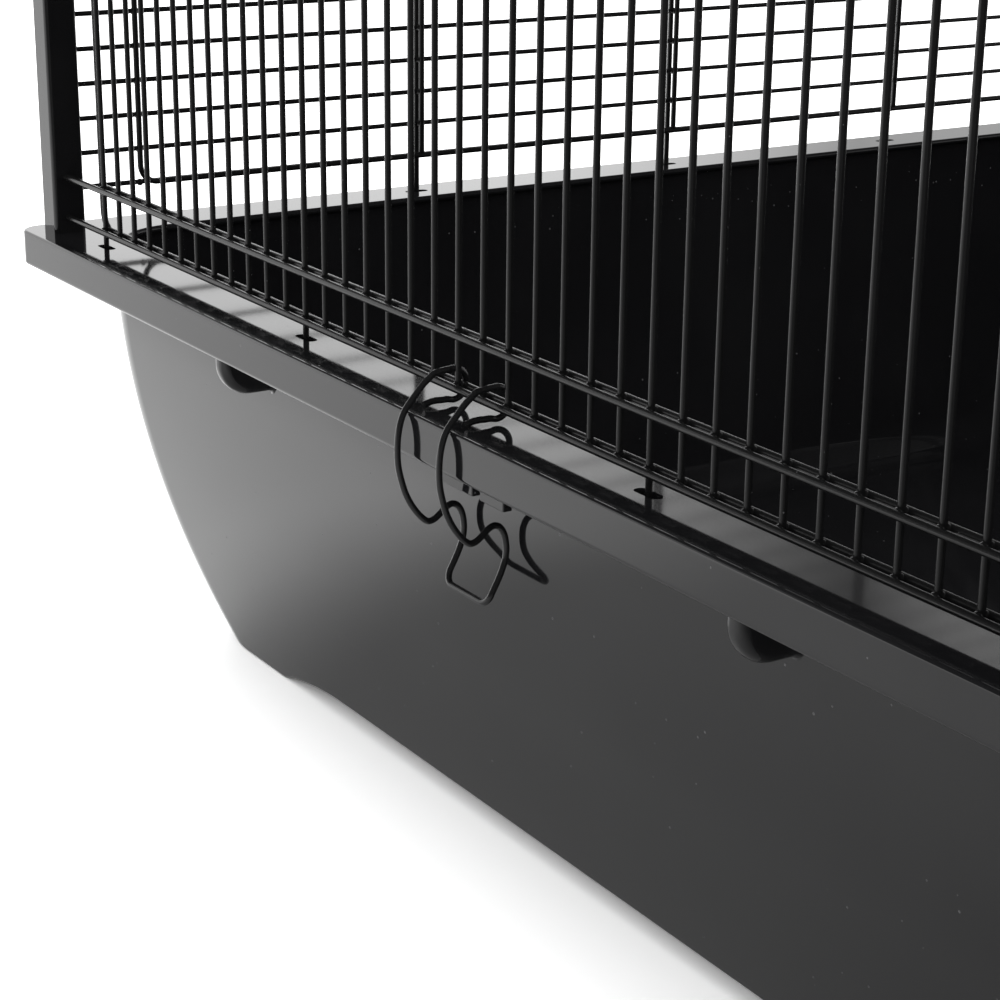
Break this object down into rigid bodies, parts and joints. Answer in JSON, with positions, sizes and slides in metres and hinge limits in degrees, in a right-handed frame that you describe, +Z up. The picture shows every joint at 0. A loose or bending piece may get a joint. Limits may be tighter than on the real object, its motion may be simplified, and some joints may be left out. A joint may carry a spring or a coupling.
{
  "type": "rodent cage",
  "caption": "Rectangular rodent cage with a deep glossy plastic tub, a wire top on square corner posts, hinged wire doors and sprung wire rim latches.",
  "frame": {"origin": "on the floor under the middle of the tub", "axes": "+X along the long side, seen from the front to the right; +Y from the front to the rear; +Z up"},
  "size_m": [1.011, 0.54, 0.6009],
  "materials": {
    "tub_plastic": "injection-moulded black plastic, high gloss with fine dust",
    "wire_coating": "black powder-coated steel wire, satin",
    "post_coating": "square steel tube, smooth black coating, glossy",
    "latch_wire": "bent spring wire, glossy black coating"
  },
  "bodies": {
    "root": {"tub": "tub_plastic", "post_front_left": "post_coating", "post_front_right": "post_coating", "post_rear_left": "post_coating", "post_rear_right": "post_coating", "front_panel": "wire_coating", "rear_panel": "wire_coating", "left_panel": "wire_coating", "right_panel": "wire_coating", "front_frame": "wire_coating", "rear_frame": "wire_coating", "left_frame": "wire_coating", "right_frame": "wire_coating", "roof_panel": "wire_coating", "roof_clips": "wire_coating", "front_door_hinges": "wire_coating", "front_door_clips": "wire_coating", "roof_door_hinges": "wire_coating", "roof_door_clips": "wire_coating"},
    "front_door": {"front_door": "wire_coating"},
    "roof_door": {"roof_door": "wire_coating"},
    "latch_front_left": {"latch_front_left": "latch_wire"},
    "latch_front_right": {"latch_front_right": "latch_wire"},
    "latch_rear_left": {"latch_rear_left": "latch_wire"},
    "latch_rear_right": {"latch_rear_right": "latch_wire"}
  },
  "joints": [
    {"name": "front_door_swing", "type": "hinge", "parent": "root", "child": "front_door", "pos_m": [-0.1305, -0.25818, 0.39], "axis": [0, 0, -1], "range_deg": [0, 110]},
    {"name": "roof_door_lift", "type": "hinge", "parent": "root", "child": "roof_door", "pos_m": [0, 0.124, 0.59763], "axis": [-1, 0, 0], "range_deg": [0, 110]},
    {"name": "latch_front_left_swing", "type": "hinge", "parent": "root", "child": "latch_front_left", "pos_m": [-0.238, -0.253, 0.1444], "axis": [-1, 0, 0], "range_deg": [0, 86]},
    {"name": "latch_front_right_swing", "type": "hinge", "parent": "root", "child": "latch_front_right", "pos_m": [0.238, -0.253, 0.1444], "axis": [-1, 0, 0], "range_deg": [0, 86]},
    {"name": "latch_rear_left_swing", "type": "hinge", "parent": "root", "child": "latch_rear_left", "pos_m": [-0.238, 0.253, 0.1444], "axis": [1, 0, 0], "range_deg": [0, 86]},
    {"name": "latch_rear_right_swing", "type": "hinge", "parent": "root", "child": "latch_rear_right", "pos_m": [0.238, 0.253, 0.1444], "axis": [1, 0, 0], "range_deg": [0, 86]}
  ]
}
